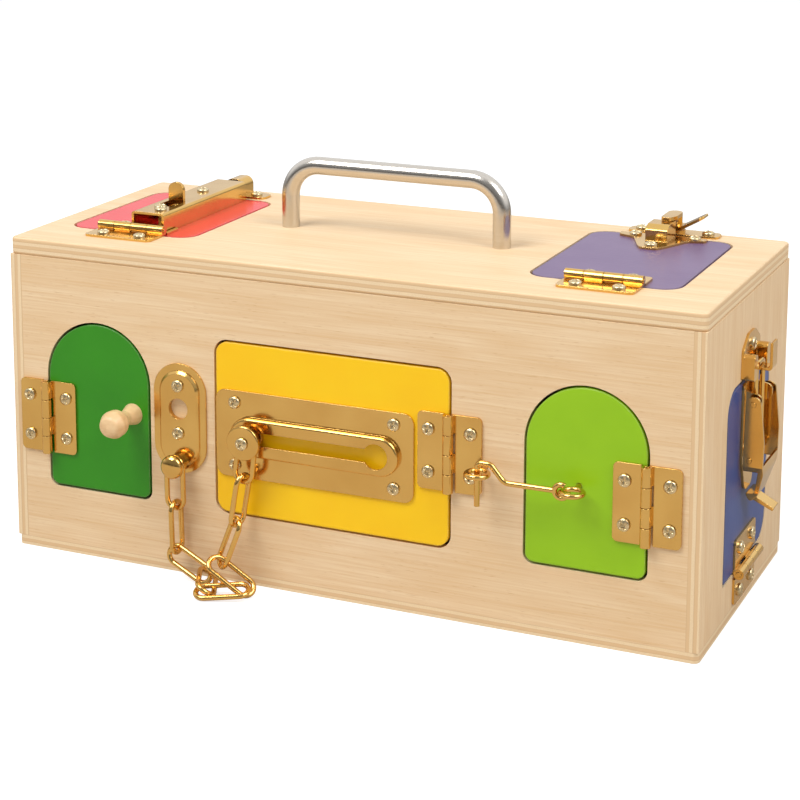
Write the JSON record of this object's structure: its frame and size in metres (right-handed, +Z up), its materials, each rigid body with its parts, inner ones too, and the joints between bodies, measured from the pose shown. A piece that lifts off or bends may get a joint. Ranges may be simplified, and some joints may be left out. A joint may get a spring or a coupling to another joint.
{
  "type": "wooden lock busy board box",
  "caption": "Plywood box with a bent steel carrying handle and painted hinged doors on its front, top and side, each held shut by a different small brass lock.",
  "frame": {"origin": "middle of the underside of the box", "axes": "+X to the right along the front, +Y to the back, +Z up"},
  "size_m": [0.3698, 0.1792, 0.197],
  "materials": {
    "birch_ply": "bare sanded birch plywood with layered edges",
    "green_paint": "green satin paint on plywood",
    "yellow_paint": "yellow satin paint on plywood",
    "lime_paint": "lime satin paint on plywood",
    "red_paint": "red gloss paint on plywood",
    "purple_paint": "purple satin paint on plywood",
    "blue_paint": "blue satin paint on plywood",
    "turned_wood": "sanded and clear coated turned wood",
    "satin_steel": "satin bent steel rod",
    "brass_plate": "polished brass-plated sheet and wire",
    "bright_screw": "bright zinc-plated steel",
    "dark_magnet": "dark sintered magnet"
  },
  "bodies": {
    "box_body": {"anchor_plate": "brass_plate", "anchor_stud": "brass_plate", "back_panel": "birch_ply", "blue_frame_leaf": "brass_plate", "bolt_keeper": "brass_plate", "bottom_panel": "birch_ply", "box_screws": "bright_screw", "cam_base": "brass_plate", "carry_handle": "satin_steel", "chain_anchor_links": "brass_plate", "door_stops": "birch_ply", "frame_eye": "brass_plate", "front_panel": "birch_ply", "green_frame_leaf": "brass_plate", "handle_screws": "bright_screw", "hinge_pins": "brass_plate", "latch_strike": "brass_plate", "left_panel": "birch_ply", "lime_frame_leaf": "brass_plate", "magnet_catch": "dark_magnet", "purple_frame_leaf": "brass_plate", "red_frame_leaf": "brass_plate", "right_panel": "birch_ply", "top_panel": "birch_ply", "yellow_frame_leaf": "brass_plate"},
    "green_door_body": {"green_door": "green_paint", "green_door_leaf": "brass_plate", "green_knob": "turned_wood", "green_strike": "bright_screw", "green_screws": "bright_screw"},
    "yellow_door_body": {"yellow_door": "yellow_paint", "yellow_door_leaf": "brass_plate", "track_plate": "brass_plate", "yellow_screws": "bright_screw"},
    "button_body": {"track_button": "brass_plate", "chain_button_links": "brass_plate"},
    "lime_door_body": {"lime_door": "lime_paint", "lime_door_leaf": "brass_plate", "lime_screws": "bright_screw", "door_eye": "brass_plate"},
    "hook_body": {"door_hook": "brass_plate"},
    "red_lid_body": {"red_door": "red_paint", "red_door_leaf": "brass_plate", "bolt_housing": "brass_plate", "red_screws": "bright_screw"},
    "bolt_body": {"slide_bolt": "brass_plate"},
    "purple_lid_body": {"purple_door": "purple_paint", "purple_door_leaf": "brass_plate", "cam_keeper": "brass_plate", "purple_screws": "bright_screw"},
    "cam_body": {"turn_cam": "brass_plate"},
    "blue_door_body": {"blue_door": "blue_paint", "blue_door_leaf": "brass_plate", "latch_base": "brass_plate", "blue_screws": "bright_screw"},
    "lever_body": {"latch_lever": "brass_plate"},
    "bail_body": {"latch_bail": "brass_plate"}
  },
  "joints": [
    {"name": "green_door_hinge", "type": "hinge", "parent": "box_body", "child": "green_door_body", "pos_m": [-0.157, -0.0779, 0.0703], "axis": [0, 0, -1], "range_deg": [0, 110]},
    {"name": "yellow_door_hinge", "type": "hinge", "parent": "box_body", "child": "yellow_door_body", "pos_m": [0.0588, -0.0779, 0.0813], "axis": [0, 0, 1], "range_deg": [0, 100]},
    {"name": "lime_door_hinge", "type": "hinge", "parent": "box_body", "child": "lime_door_body", "pos_m": [0.1528, -0.0779, 0.0703], "axis": [0, 0, 1], "range_deg": [0, 110]},
    {"name": "red_lid_hinge", "type": "hinge", "parent": "box_body", "child": "red_lid_body", "pos_m": [-0.1265, -0.043, 0.1629], "axis": [1, 0, 0], "range_deg": [0, 100]},
    {"name": "purple_lid_hinge", "type": "hinge", "parent": "box_body", "child": "purple_lid_body", "pos_m": [0.1204, -0.043, 0.1629], "axis": [1, 0, 0], "range_deg": [0, 100]},
    {"name": "blue_door_hinge", "type": "hinge", "parent": "box_body", "child": "blue_door_body", "pos_m": [0.1804, 0, 0.0216], "axis": [0, 1, 0], "range_deg": [0, 90]},
    {"name": "hook_turn", "type": "hinge", "parent": "lime_door_body", "child": "hook_body", "pos_m": [0.116, -0.085, 0.0744], "axis": [0, 1, 0], "range_deg": [0, 90]},
    {"name": "bolt_slide", "type": "slide", "parent": "red_lid_body", "child": "bolt_body", "axis": [0, -1, 0], "range_m": [0, 0.012]},
    {"name": "button_slide", "type": "slide", "parent": "yellow_door_body", "child": "button_body", "axis": [1, 0, 0], "range_m": [0, 0.065]},
    {"name": "cam_turn", "type": "hinge", "parent": "box_body", "child": "cam_body", "pos_m": [0.1213, 0.0676, 0.16], "axis": [0, 0, 1], "range_deg": [0, 100]},
    {"name": "lever_turn", "type": "hinge", "parent": "blue_door_body", "child": "lever_body", "pos_m": [0.1837, 0, 0.103], "axis": [0, -1, 0], "range_deg": [0, 90]},
    {"name": "bail_turn", "type": "hinge", "parent": "lever_body", "child": "bail_body", "pos_m": [0.1824, 0, 0.076], "axis": [0, 1, 0], "range_deg": [0, 49.5]}
  ],
  "couplings": [
    {"joint": "bail_turn", "follows": "lever_turn", "ratio": 0.55}
  ]
}
